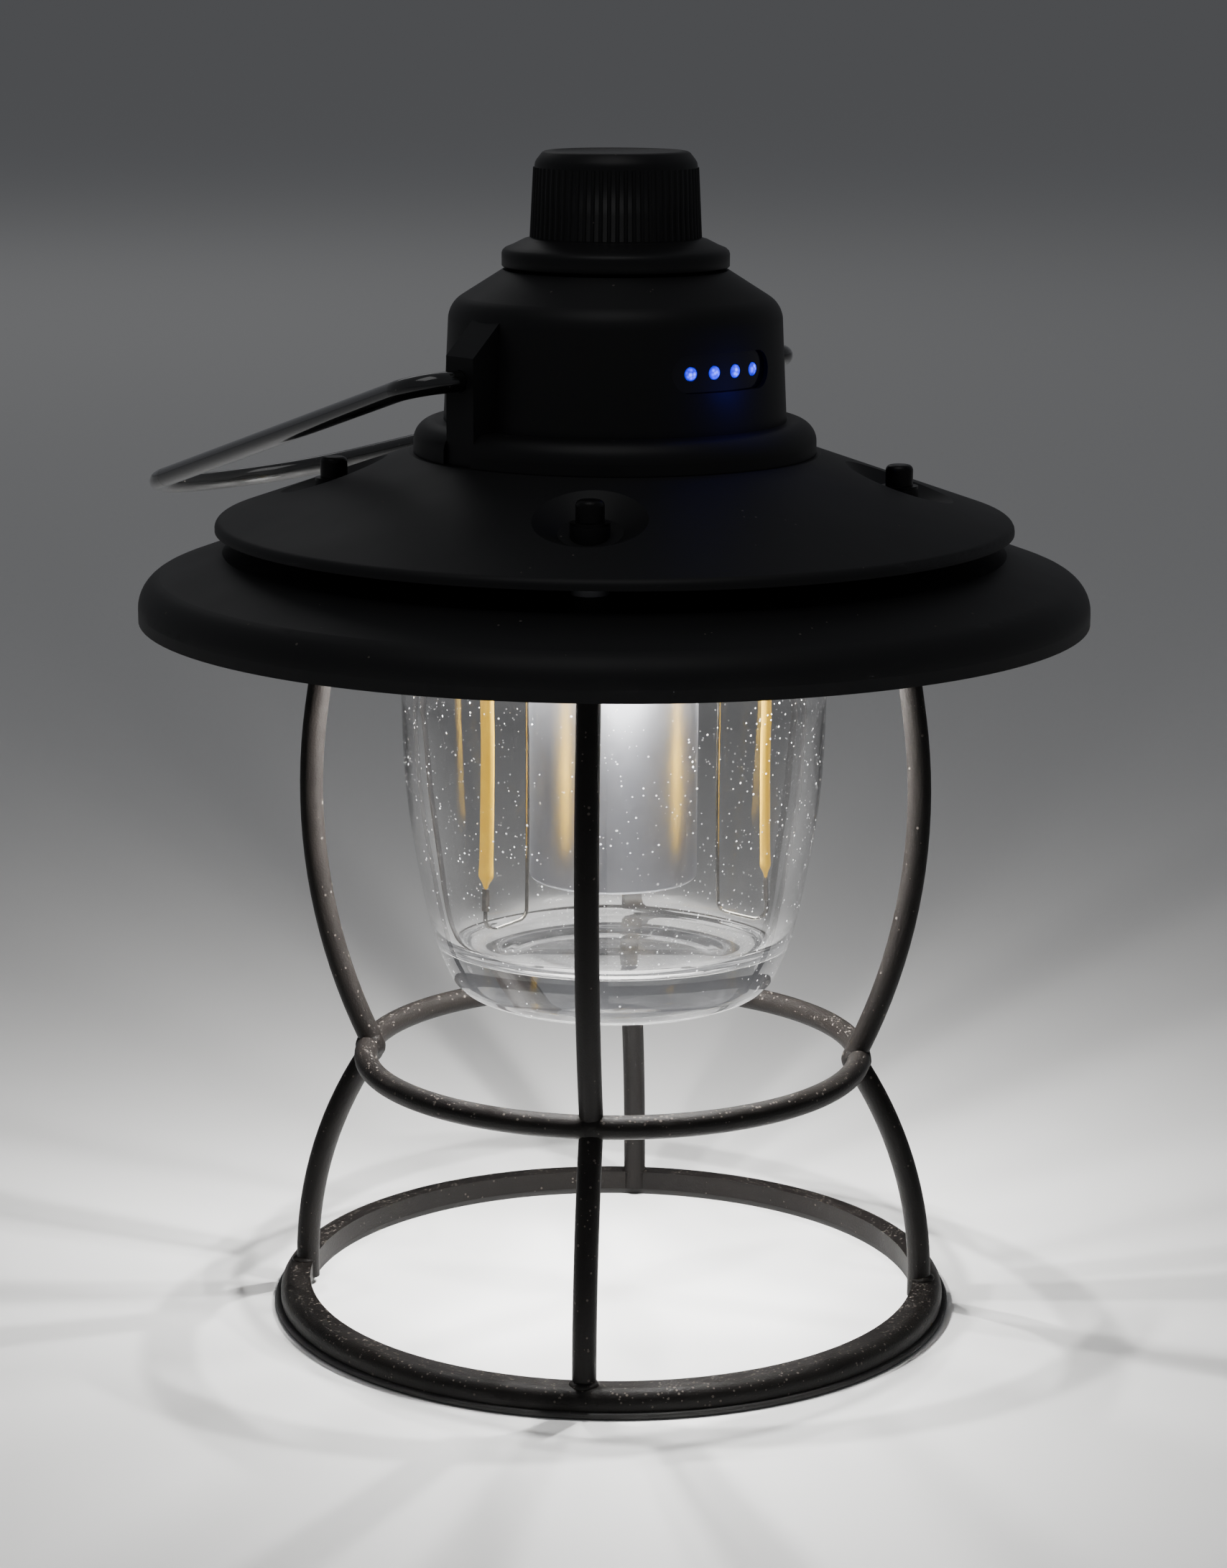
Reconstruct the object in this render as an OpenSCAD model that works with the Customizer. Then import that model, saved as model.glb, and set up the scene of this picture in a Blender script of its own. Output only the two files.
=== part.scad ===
// Rechargeable camping lantern: a wire stand, two stacked shades, a clear globe
// with three light filaments around the battery tube, and a dimmer head with a bail.
// Front is -Y (battery indicator), the bail turns about X and the bench is z = 0.

/* [Stand] */
// Thickness of the round rod in the legs and the middle ring
rod_d = 3.4; // [3:0.1:3.6]
// Outer diameter of the base ring
base_ring_d = 98.8; // [96:0.2:102]
// Radial width of the base ring
base_ring_w = 4.4; // [4:0.1:5]
// Height of the top of the base ring above the bench
base_ring_top = 3.75; // [3.5:0.05:4]
// Thickness of the rubber foot gasket
gasket_t = 0.9; // [0.8:0.1:1.2]
// Centre-line diameter of the middle ring
mid_ring_d = 72.8; // [72:0.2:74]
// Height of the middle ring
mid_ring_z = 37.5; // [35:0.5:40]
// Distance of a leg from the lantern's axis at its belly
belly_r = 44.4; // [43.5:0.1:45.5]
// Height of the belly
belly_z = 76; // [74:0.5:78]
// Distance of a leg from the axis at its waist
waist_r = 35.5; // [35:0.1:36]
// Distance of a leg from the axis at its foot
foot_r = 45.9; // [45.5:0.1:46.3]
// Distance of the leg's stud and cap nut from the axis
stud_r = 40.5; // [40:0.1:41]

/* [Shades] */
// Diameter of the wide lower shade
lower_shade_d = 136; // [130:1:142]
// Height of the lower shade's bottom edge
lower_shade_z = 103.4; // [103:0.1:104]
// Slope of the lower shade, in degrees
lower_slope = 20; // [19:0.5:21]
// Diameter of the upper shade
upper_shade_d = 114; // [112:1:116]
// Height of the upper shade's bottom edge
upper_shade_z = 115.9; // [115.8:0.1:116.2]
// Slope of the upper shade, in degrees
upper_slope = 19.2; // [19:0.1:19.5]
// Wall thickness of both shades
shade_t = 1.5; // [1.2:0.1:1.6]
// Radius of the dish round each cap nut
dish_r = 8.2; // [7.5:0.1:8.5]

/* [Globe and lamp] */
// Outer diameter of the globe below the shade
globe_d = 61.5; // [60:0.5:62]
// Height of the globe's lowest point
globe_z = 46.9; // [46:0.1:47.4]
// Outer diameter of the battery tube
tube_d = 24.5; // [24.2:0.1:25]
// Height of the battery tube's lower end
tube_z = 65; // [63:0.5:67]
// Distance of the light filaments from the axis
filament_r = 22.8; // [22:0.1:23.5]
// Width of a light filament
filament_w = 2.3; // [2:0.1:2.5]
// Height of the filaments' lower ends
filament_z = 66.5; // [65:0.5:68]

/* [Head] */
// Outer radius of the head's wall at its foot
wall_r = 24.4; // [24.2:0.1:24.6]
// Outer radius of the collar at the foot of the head
collar_r = 28.7; // [28.4:0.1:29]
// Height of the head's flat top
head_top_z = 152.5; // [152:0.1:152.8]
// Slope of the head's shoulder, in degrees
shoulder_slope = 32.3; // [31:0.1:33]
// Length of the indicator slot
slot_w = 17.6; // [17:0.1:18]
// Height of the indicator slot
slot_h = 5.3; // [5:0.1:5.5]
// Angle between neighbouring indicator lights, in degrees
light_pitch = 9.4; // [9:0.1:9.6]
// Height of the charging port's middle
port_z = 138.2; // [138:0.1:138.4]

/* [Dimmer knob] */
// Radius of the knob's skirt
skirt_r = 16.1; // [15.8:0.1:16.2]
// Radius of the knob's grip at its foot
grip_r = 11.95; // [11.8:0.05:12]
// Height of the knob's flat top
knob_top_z = 169; // [168:0.5:170]
// Number of ribs round the grip
rib_n = 64; // [48:4:72]

/* [Bail] */
// Thickness of the bail's wire
wire_d = 3; // [2.6:0.1:3.1]
// Height of the bail's pivot
pivot_z = 138.5; // [138:0.1:139]
// Half the width of the bail where it leaves the pivots
bail_half_w = 35.9; // [35:0.1:37]
// Half the width of the bail at its far end
bail_end_half_w = 15.1; // [14:0.1:18]
// Reach of the bail from its pivot
bail_reach = 106; // [100:0.5:110]
// How far the resting bail hangs below level, in degrees
bail_tilt = 14.7; // [13:0.1:15]

/* [Hidden] */
$fn = 96;
eps = 0.01;
slip = 0.05;
nest = 0.02;
lap = 0.1;

// Stand
leg_angles = [45, 135, 225, 315];
belly_rise = belly_z - mid_ring_z;
belly_arc = arc_radius(belly_rise, belly_r - waist_r);
foot_z = 4;
foot_rise = mid_ring_z - foot_z;
foot_arc = arc_radius(foot_rise, foot_r - waist_r);
lean = 8.5;
knee_r = 12;
base_ring_r = base_ring_d / 2;
base_ring_in = base_ring_r - base_ring_w;
gasket_lip = 0.8;
leg_end_z = 1.1;
stud_d = 2.5;
stud_top_z = 124.4;

// Shades
lower_edge_r = 4.7;
lower_lip = 1.7;
hub_r = 56;
upper_edge_r = 1.2;
upper_lip = 0.4;
land_r = 29.4;
hub_top = slope_z(hub_r, lower_shade_d / 2, lower_shade_z + lower_lip, lower_edge_r, lower_slope);
hub_bottom = hub_top - shade_t;
land_top = slope_z(land_r, upper_shade_d / 2, upper_shade_z + upper_lip, upper_edge_r, upper_slope);
dish_depth = 2.2;
dish_floor_r = 4.4;
seat_top = 122;
seat_bottom = 118.2;
seat_r = 2.7;
washer_t = 0.4;
nut_r = 1.95;
nut_h = 3;
nut_edge_r = 0.8;

// Globe and lamp
globe_r = globe_d / 2;
globe_t = 2.6;
globe_base_t = 8.3;
// Points down the globe's side: share of its belly radius, height above its lowest point
globe_outer = [
    [0.45, -0.3], [0.58, 0], [0.7, 1], [0.75, 2.1], [0.79, 4],
    [0.866, 10.3], [0.94, 21.8], [0.985, 32.6], [1, 44.3], [1, 54.3]
];
globe_inner = [
    [0.55, 8.2], [0.66, 8.3], [0.74, 9.2], [0.785, 12.5],
    [0.83, 20.8], [0.885, 32.3], [0.915, 44.3], [0.915, 54.3]
];
globe_flange_r = 32.6;
plate_t = 1.5;
plate_r = 33.2;
plate_z = hub_bottom - plate_t;
reflector_t = 0.8;
reflector_r = 28;
reflector_z = plate_z - reflector_t;
globe_gasket_t = 1.2;
flange_t = 2.2;
flange_top = plate_z - globe_gasket_t;
flange_z = flange_top - flange_t;
ring_lip_t = 1.2;
tube_t = 0.95;
tube_r = tube_d / 2;
tube_top_z = 137.6;
cell_r = 9.2;
cell_h = 65.2;
cell_z = tube_z + 4;
sleeve_t = 1.8;
lamp_screw_r = 18;
filament_angles = [180, 300, 60];
filament_top_z = reflector_z - 3.6;
filament_t = 1.1;
wire_r = 15.9;
lead_d = 0.55;
lead_low_z = 60.2;
tab_w = 0.9;
tab_t = 0.5;
tab_h = 3.2;

// Head
housing_z = land_top + 0.05;
housing_t = 2;
collar_edge_r = 3;
collar_top_z = housing_z + 4.6;
wall_top_r = 23.7;
wall_top_z = 145.4;
shoulder_edge_r = 4;
crown_r = 16.4;
lug_face = 28;
lug_w = 6;
lug_top_z = 141.8;
slot_z = 139.9;
bezel_r = 23.3;
bezel_t = 1.3;
strip_r = 21.6;
strip_t = 0.7;
light_r = 0.95;
light_out = 0.3;
boss_r = 3.1;
boss_at = 19.4;
boss_angles = [22, 158, 202, 338];
board_z = 135;
board_t = 1.6;
screw_d = 2.6;
screw_head_r = 2.5;
pad_y = 24.9;
pad_w = 17;
pad_low = 134.9;
pad_high = 142.6;
cover_w = 14.6;
cover_t = 1.5;
cover_low = 135.1;
cover_high = 141.9;
hinge_y = 25.85;
hinge_z = 134;
hinge_pin_d = 1;
hinge_barrel_r = 0.95;
bushing_r = 3.5;
shaft_r = 3;

// Knob
skirt_z = 152.9;
skirt_h = 2;
grip_z = 157;
grip_top_z = 167;
grip_top_r = 11.45;
face_r = 9.9;
rib_r = 0.3;
rib_top_z = 166.7;

// Bail
bail_end_x = 22.4;
pivot_bend = 4.5;
arm_heading = atan2(bail_reach, bail_end_half_w - bail_half_w);
corner_bend = (bail_end_half_w - 0.3) / tan((180 - arm_heading) / 2);

// Radius of an arc that is vertical at one end and drifts sideways by run over a rise
function arc_radius(rise, run) = (rise * rise + run * run) / (2 * run);

// Height of a shade's sloping top at radius r, for rim radius rim and edge rounding edge
function slope_z(r, rim, z, edge, slope) =
    z + edge * cos(slope) + (rim - edge + edge * sin(slope) - r) * tan(slope);

function unit(v) = v / norm(v);
function heading(v) = atan2(v[1], v[0]);
function turn(a, b, c) = let (d = heading(c - b) - heading(b - a)) d > 180 ? d - 360 : d < -180 ? d + 360 : d;

// Length of straight run that a bend of radius r takes up at corner i of a path
function setback(path, r, i) = abs(r[i]) < eps ? 0 : r[i] * tan(abs(turn(path[i - 1], path[i], path[i + 1])) / 2);

// Part of a round bar bent to radius r about the origin of the XY plane
module arc_bar(r, from, to, d)
    rotate([0, 0, from]) rotate_extrude(angle = to - from) translate([r, 0]) circle(d = d);

module straight_bar(a, b, d)
    translate(a) rotate([0, 90, heading(b - a)]) cylinder(d = d, h = norm(b - a));

// Round bar in the XY plane along a path of corners, each bent to its own radius.
// The straights are thinner by nest and run into the bends by lap, so that no two surfaces coincide.
module bent_bar(path, bends, d) {
    last = len(path) - 1;
    for (i = [0 : last - 1]) {
        dir = unit(path[i + 1] - path[i]);
        from = i == 0 ? 0 : setback(path, bends, i) - lap;
        to = i + 1 == last ? 0 : setback(path, bends, i + 1) - lap;
        straight_bar(concat(path[i] + dir * from, 0), concat(path[i + 1] - dir * to, 0), d - nest);
    }
    for (i = [1 : last - 1]) {
        bend = turn(path[i - 1], path[i], path[i + 1]);
        side = sign(bend);
        dir = unit(path[i] - path[i - 1]);
        start = path[i] - dir * setback(path, bends, i);
        centre = start + side * bends[i] * [-dir[1], dir[0]];
        first = heading(start - centre);
        translate(concat(centre, 0)) arc_bar(bends[i], min(first, first + bend), max(first, first + bend), d);
    }
}

// Quarter disc that rounds an outer upper edge in a half outline
module round_edge(x, z, r) translate([x, z]) intersection() {
    circle(r = r);
    square(r);
}

module tube(r_out, r_in, h)
    difference() {
        cylinder(r = r_out, h = h);
        translate([0, 0, -1]) cylinder(r = r_in, h = h + 2);
    }

module band(r_out, r_in, z, h) translate([0, 0, z]) tube(r_out, r_in, h);

module at_legs() for (a = leg_angles) rotate([0, 0, a]) translate([stud_r, 0, 0]) children();

module at_filaments() for (a = filament_angles) rotate([0, 0, a]) children();

module at_bosses() for (a = boss_angles) rotate([0, 0, a]) translate([boss_at, 0, 0]) children();

// Half outline of a solid shade: lip, rounded edge, slope and a level top from radius flat inwards
module shade_outline(rim, z, lip, edge, slope, flat) {
    top = slope_z(flat, rim, z + lip, edge, slope);
    shoulder = [rim - edge + edge * sin(slope), z + lip + edge * cos(slope)];
    polygon([[0, z], [rim, z], [rim, z + lip], shoulder, [flat, top], [0, top]]);
    round_edge(rim - edge, z + lip, edge);
}

module shade_shell(rim, z, lip, edge, slope, flat, hole)
    rotate_extrude() difference() {
        shade_outline(rim, z, lip, edge, slope, flat);
        shade_outline(rim - shade_t, z - 1, lip + 1, max(edge - shade_t, 0.2), slope,
            flat - shade_t * tan(slope / 2));
        translate([0, z - 2]) square([hole, 40]);
    }

// Pan head screw pointing up, with the underside of its head at z = 0
module screw(d, length, head_r, head_h) {
    cylinder(d = d, h = length);
    difference() {
        translate([0, 0, -head_h]) cylinder(r1 = head_r * 0.8, r2 = head_r, h = head_h);
        for (a = [0, 90]) rotate([0, 0, a])
            translate([-head_r * 0.55, -0.25, -head_h - 1]) cube([head_r * 1.1, 0.5, 1.6]);
    }
}

module slot_outline(w, h, depth) {
    translate([-w / 2 + h / 2, 0, -h / 2]) cube([w - h, depth, h]);
    for (x = [-1, 1]) translate([x * (w - h) / 2, 0, 0]) rotate([-90, 0, 0]) cylinder(d = h, h = depth);
}

// ---- Stand ----

module base_ring_profile() {
    edge = base_ring_top - gasket_t - 0.9;
    translate([base_ring_in, gasket_t]) square([base_ring_w, base_ring_top - gasket_t - edge]);
    translate([base_ring_in, gasket_t]) square([base_ring_w - edge, base_ring_top - gasket_t]);
    round_edge(base_ring_r - edge, base_ring_top - edge, edge);
}

module foot_gasket() color([0.12, 0.12, 0.12])
    rotate_extrude() {
        translate([base_ring_in + 0.3, 0]) square([base_ring_w - 0.3 + gasket_lip - gasket_t / 2, gasket_t]);
        translate([base_ring_r + gasket_lip - gasket_t / 2, gasket_t / 2]) circle(d = gasket_t);
    }

module base_ring() color([0.16, 0.15, 0.14]) rotate_extrude() base_ring_profile();

module middle_ring() color([0.16, 0.15, 0.14])
    translate([0, 0, mid_ring_z]) rotate_extrude() translate([mid_ring_d / 2, 0]) circle(d = rod_d);

// One leg in the XZ plane, from its half-lapped foot to the stud under its cap nut
module leg() {
    lean_from = [belly_r - belly_arc * (1 - cos(lean)), belly_z + belly_arc * sin(lean)];
    lean_run = (lean_from[0] - stud_r - knee_r * (1 - cos(lean))) / sin(lean);
    lean_dir = [-sin(lean), cos(lean)];
    lean_to = lean_from + lean_run * lean_dir;
    knee_z = lean_to[1] + knee_r * sin(lean);
    difference() {
        union() {
            translate([foot_r, 0, leg_end_z]) cylinder(d = rod_d - nest, h = foot_z + lap - leg_end_z);
            translate([waist_r, 0, mid_ring_z]) sphere(d = rod_d - nest);
            translate([stud_r, 0, knee_z - lap]) cylinder(d = rod_d - nest, h = seat_top - slip - knee_z + lap);
            translate([stud_r, 0, knee_z]) cylinder(d = stud_d, h = stud_top_z - knee_z);
            rotate([90, 0, 0]) {
                translate([foot_r - foot_arc, foot_z, 0]) arc_bar(foot_arc, 0, asin(foot_rise / foot_arc), rod_d);
                translate([belly_r - belly_arc, belly_z, 0])
                    arc_bar(belly_arc, -asin(belly_rise / belly_arc), lean, rod_d);
                straight_bar(concat(lean_from - lap * lean_dir, 0), concat(lean_to + lap * lean_dir, 0), rod_d - nest);
                translate([stud_r + knee_r, knee_z, 0]) arc_bar(knee_r, 180, 180 + lean, rod_d);
            }
        }
        rotate_extrude() translate([base_ring_in, -1]) square([10, base_ring_top + 1]);
        middle_ring();
    }
}

module leg_front_left() color([0.17, 0.16, 0.15]) rotate([0, 0, 225]) leg();
module leg_front_right() color([0.17, 0.16, 0.15]) rotate([0, 0, 315]) leg();
module leg_back_left() color([0.17, 0.16, 0.15]) rotate([0, 0, 135]) leg();
module leg_back_right() color([0.17, 0.16, 0.15]) rotate([0, 0, 45]) leg();

// ---- Shades ----

module lower_shade() color([0.11, 0.11, 0.11])
    difference() {
        shade_shell(lower_shade_d / 2, lower_shade_z, lower_lip, lower_edge_r, lower_slope, hub_r, tube_r + slip);
        at_legs() translate([0, 0, hub_bottom - 1]) cylinder(d = rod_d + 2 * slip, h = 5);
        at_lamp_screws() translate([0, 0, hub_bottom - 1]) cylinder(d = screw_d + 2 * slip, h = 5);
    }

// Dish pressed into the slope round a cap nut, square to the slope
module dish(grow)
    translate([stud_r, 0, slope_z(stud_r, upper_shade_d / 2, upper_shade_z + upper_lip, upper_edge_r, upper_slope)])
        rotate([0, upper_slope, 0])
            translate([0, 0, -dish_depth - grow])
                cylinder(r1 = dish_floor_r + grow * 0.4, r2 = dish_r + grow * 0.4 + (grow > 0 ? 0 : 1.7),
                    h = dish_depth + (grow > 0 ? 0.9 : 1));

module upper_shade() color([0.12, 0.12, 0.12])
    difference() {
        union() {
            shade_shell(upper_shade_d / 2, upper_shade_z, upper_lip, upper_edge_r, upper_slope, land_r, tube_r + 1);
            for (a = leg_angles) rotate([0, 0, a]) dish(shade_t);
            at_legs() translate([0, 0, seat_bottom]) cylinder(r = seat_r + 0.6, h = 2);
        }
        for (a = leg_angles) rotate([0, 0, a]) difference() {
            dish(0);
            translate([stud_r, 0, seat_bottom]) cylinder(r = seat_r, h = seat_top - seat_bottom);
        }
        at_legs() translate([0, 0, seat_bottom - 3]) cylinder(d = rod_d + 2 * slip, h = 12);
        at_bosses() translate([0, 0, land_top - 5]) cylinder(d = screw_d + 2 * slip, h = 8);
    }

module shade_spacers() color([0.6, 0.6, 0.62])
    at_legs() translate([0, 0, hub_top]) tube(seat_r - 0.2, rod_d / 2 + slip, seat_bottom - hub_top);

module leg_collars() color([0.6, 0.6, 0.62])
    at_legs() translate([0, 0, hub_bottom - 1]) tube(3.2, rod_d / 2 + slip, 1);

module nut_washers() color([0.3, 0.3, 0.3])
    at_legs() translate([0, 0, seat_top]) tube(seat_r, stud_d / 2 + slip, washer_t);

module cap_nuts() color([0.1, 0.1, 0.1])
    at_legs() translate([0, 0, seat_top + washer_t]) difference() {
        rotate_extrude() {
            square([nut_r, nut_h - nut_edge_r]);
            square([nut_r - nut_edge_r, nut_h]);
            round_edge(nut_r - nut_edge_r, nut_h - nut_edge_r, nut_edge_r);
        }
        translate([0, 0, -1]) cylinder(d = stud_d, h = 1 + stud_top_z - seat_top - washer_t);
    }

// ---- Globe and lamp ----

// Points of a smooth curve that passes through the given points, steps to each stretch
function smooth(p, steps) = [for (i = [1 : len(p) - 3]) for (k = [0 : steps - 1])
    let (t = k / steps, a = p[i - 1], b = p[i], c = p[i + 1], d = p[i + 2])
        0.5 * (2 * b + (c - a) * t + (2 * a - 5 * b + 4 * c - d) * t * t + (3 * b - a - 3 * c + d) * t * t * t)];

// Half outline of the globe's outside, scaled to its belly, and of the hollow inside its thick foot
function globe_side() = [for (q = smooth([for (p = globe_outer) [p[0] * globe_r, globe_z + p[1]]], 6)) q];
function globe_bore() = [for (q = smooth([for (p = globe_inner) [p[0] * globe_r, globe_z + p[1]]], 6)) q];

module globe() color([0.85, 0.9, 0.92, 0.35])
    rotate_extrude() difference() {
        union() {
            polygon(concat([[0, globe_z]], globe_side(), [[globe_r, flange_z + 1], [0, flange_z + 1]]));
            translate([0, flange_z]) square([globe_flange_r, flange_t]);
        }
        polygon(concat([[-1, globe_z + globe_base_t]], globe_bore(),
            [[globe_r - globe_t, flange_top + 1], [-1, flange_top + 1]]));
    }

module globe_gasket() color([0.8, 0.8, 0.78])
    band(globe_flange_r, reflector_r + 0.3, flange_top, globe_gasket_t);

module globe_ring() color([0.14, 0.14, 0.14]) {
    band(globe_flange_r + 2.4, globe_r + 0.15, flange_z - ring_lip_t, ring_lip_t);
    band(globe_flange_r + 2.4, plate_r + slip, flange_z, hub_bottom - flange_z);
}

module at_lamp_screws() for (a = [0, 120, 240]) rotate([0, 0, a]) translate([lamp_screw_r, 0, 0]) children();

module lamp_plate() color([0.7, 0.7, 0.72])
    difference() {
        band(plate_r, tube_r + slip, plate_z, plate_t);
        at_lamp_screws() translate([0, 0, plate_z - 1]) cylinder(d = screw_d + 2 * slip, h = 5);
        at_filaments() translate([wire_r, 0, plate_z - 1]) cylinder(d = 1.2, h = 5);
    }

module reflector() color([0.93, 0.93, 0.9])
    difference() {
        band(reflector_r, tube_r + slip, reflector_z, reflector_t);
        at_lamp_screws() translate([0, 0, reflector_z - 1]) cylinder(d = screw_d + 2 * slip, h = 5);
        at_filaments() translate([wire_r, 0, reflector_z - 1]) cylinder(d = 1.2, h = 5);
    }

module lamp_screws() color([0.75, 0.75, 0.76])
    at_lamp_screws() translate([0, 0, reflector_z]) screw(screw_d, hub_top + 2.4 - reflector_z, screw_head_r, 1.3);

module lamp_nuts() color([0.75, 0.75, 0.76])
    at_lamp_screws() translate([0, 0, hub_top]) difference() {
        cylinder(d = 5.6, h = 1.8, $fn = 6);
        translate([0, 0, -1]) cylinder(d = screw_d, h = 4);
    }

module filaments() color([0.95, 0.8, 0.35])
    at_filaments() translate([filament_r - filament_t / 2, -filament_w / 2, filament_z])
        cube([filament_t, filament_w, filament_top_z - filament_z]);

// Metal ends of the filaments: a tail below each and a foot into its holder above
module filament_tabs() color([0.75, 0.74, 0.7])
    at_filaments() {
        translate([filament_r - tab_t / 2, -tab_w / 2, filament_z - tab_h]) cube([tab_t, tab_w, tab_h]);
        translate([filament_r - tab_t / 2, -tab_w / 2, filament_top_z]) cube([tab_t, tab_w, 0.8]);
    }

// Return wire: down from the tail, inwards, and up beside the battery tube
module filament_wires() color([0.7, 0.7, 0.7])
    at_filaments() rotate([90, 0, 0])
        bent_bar([[filament_r, filament_z - tab_h], [filament_r, lead_low_z], [wire_r, lead_low_z + 1.2],
            [wire_r, plate_z + 1]], [0, 1.6, 1.6, 0], lead_d);

module filament_holders() color([0.9, 0.88, 0.82])
    at_filaments() translate([filament_r, 0, filament_top_z + 0.8]) cylinder(r = 1.7, h = reflector_z - filament_top_z - 0.8);

// ---- Battery tube ----

module battery_tube() color([0.72, 0.73, 0.74]) band(tube_r, tube_r - tube_t, tube_z, tube_top_z - tube_z);

module tube_collar() color([0.55, 0.55, 0.57]) band(tube_r + 2.6, tube_r + slip, hub_top, 3);

module tube_cap() color([0.66, 0.67, 0.68])
    difference() {
        translate([0, 0, tube_z + 0.4]) cylinder(r = tube_r - tube_t, h = 2);
        translate([-5, -0.6, tube_z]) cube([10, 1.2, 1.2]);
    }

module battery_sleeve() color([0.85, 0.82, 0.7]) band(cell_r + sleeve_t, cell_r, cell_z + 1, cell_h - 8);

module battery_cell() color([0.2, 0.35, 0.6]) {
    translate([0, 0, cell_z]) cylinder(r = cell_r, h = cell_h - 0.7);
    translate([0, 0, cell_z + cell_h - 0.7]) cylinder(r = 4, h = 0.7);
}

module contact_spring() color([0.75, 0.7, 0.55])
    for (i = [0 : 2]) translate([0, 0, tube_z + 2.4 + 0.27 + i * 0.53]) rotate_extrude()
        translate([5.4 - i * 0.9, 0]) circle(d = 0.54);

module contact_plate() color([0.8, 0.75, 0.45])
    translate([0, 0, cell_z + cell_h]) cylinder(r = 6, h = 0.4);

// ---- Head ----

// Half outline of the head's outside: collar, drafted wall, rounded shoulder and flat crown
module head_outline() {
    shoulder = [wall_top_r - shoulder_edge_r + shoulder_edge_r * sin(shoulder_slope),
        wall_top_z + shoulder_edge_r * cos(shoulder_slope)];
    crown = [shoulder[0] - (head_top_z - shoulder[1]) / tan(shoulder_slope), head_top_z];
    polygon([[0, housing_z], [collar_r, housing_z], [collar_r, collar_top_z - collar_edge_r],
        [collar_r - collar_edge_r, collar_top_z], [wall_r, collar_top_z], [wall_top_r, wall_top_z],
        shoulder, crown, [0, head_top_z]]);
    round_edge(collar_r - collar_edge_r, collar_top_z - collar_edge_r, collar_edge_r);
    round_edge(wall_top_r - shoulder_edge_r, wall_top_z, shoulder_edge_r);
}

module head_hollow()
    polygon([[0, housing_z - 1], [wall_r - housing_t, housing_z - 1], [wall_top_r - housing_t, wall_top_z - 1],
        [crown_r - 2, head_top_z - housing_t - 0.6], [0, head_top_z - housing_t - 0.6]]);

// Upright lug that carries one end of the bail, with a sloping top
module lug()
    rotate([90, 0, 0]) translate([0, 0, -lug_w / 2]) linear_extrude(lug_w)
        polygon([[wall_r - 1.4, housing_z], [lug_face, housing_z], [lug_face, lug_top_z],
            [wall_r - 1.4, lug_top_z + lug_face - wall_r + 1.4]]);

// Ears at the foot of the port's pad that hold the cover's pin
module hinge_ears() for (x = [-1, 1]) translate([x * 5.6 - 0.9, 0, hinge_z]) {
    translate([0, 22, -0.9]) cube([1.8, hinge_y - 22, 1.8]);
    translate([0, hinge_y, 0]) rotate([0, 90, 0]) cylinder(r = hinge_barrel_r, h = 1.8);
}

module top_housing() color([0.13, 0.13, 0.135])
    difference() {
        union() {
            rotate_extrude() difference() {
                head_outline();
                head_hollow();
            }
            for (a = [0, 180]) rotate([0, 0, a]) lug();
            at_bosses() translate([0, 0, housing_z]) cylinder(r = boss_r, h = board_z - housing_z);
            translate([-pad_w / 2, 21.4, pad_low]) cube([pad_w, pad_y - 21.4, pad_high - pad_low]);
            hinge_ears();
        }
        for (a = [0, 180]) rotate([0, 0, a])
            translate([lug_face, -lug_w / 2, housing_z - 1]) cube([5, lug_w, 20]);
        translate([0, 0, pivot_z]) rotate([0, 90, 0]) cylinder(d = wire_d + 2 * slip, h = 80, center = true);
        translate([0, -30, slot_z]) slot_outline(slot_w, slot_h, 12);
        translate([0, 19, port_z]) slot_outline(9.2, 3.5, 12);
        at_bosses() translate([0, 0, housing_z - 1]) cylinder(d = screw_d, h = 7);
        at_bosses() translate([0, 0, board_z - 3.4]) cylinder(d = 1.6, h = 5);
        translate([0, 0, head_top_z - 5]) cylinder(r = bushing_r + slip, h = 8);
        translate([0, hinge_y, hinge_z]) rotate([0, 90, 0]) cylinder(d = hinge_pin_d, h = 11.8, center = true);
    }

module housing_screws() color([0.75, 0.75, 0.76])
    at_bosses() translate([0, 0, land_top - shade_t]) screw(screw_d, 6, screw_head_r, 1.4);

module main_board() color([0.1, 0.35, 0.2])
    difference() {
        band(21.2, tube_r + 0.5, board_z, board_t);
        at_bosses() translate([0, 0, board_z - 1]) cylinder(d = 1.7, h = 4);
        translate([-9, -23, board_z - 1]) cube([18, 4.4, 4]);
    }

module board_screws() color([0.75, 0.75, 0.76])
    at_bosses() translate([0, 0, board_z + board_t]) rotate([180, 0, 0]) screw(1.6, 4.4, 1.5, 0.9);

module charge_port() color([0.78, 0.78, 0.8])
    difference() {
        translate([0, 15.2, port_z]) slot_outline(8.9, 3.2, 8.6);
        translate([0, 16.2, port_z]) slot_outline(8.3, 2.6, 8.6);
    }

module cover_pin() color([0.7, 0.7, 0.72])
    translate([0, hinge_y, hinge_z]) rotate([0, 90, 0]) cylinder(d = hinge_pin_d, h = 11.6, center = true);

// Slice of a band round the axis that lies behind the indicator slot
module slot_slice(r_out, t, w, h) intersection() {
    band(r_out, r_out - t, slot_z - h, 2 * h);
    translate([0, -30, slot_z]) slot_outline(w, h, 15);
}

module at_lights() for (i = [-1.5 : 1 : 1.5]) rotate([0, 0, i * light_pitch]) translate([0, 0, slot_z]) children();

module indicator_board() color([0.1, 0.35, 0.2]) slot_slice(strip_r, strip_t, slot_w - 1.4, slot_h + 1.4);

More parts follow.
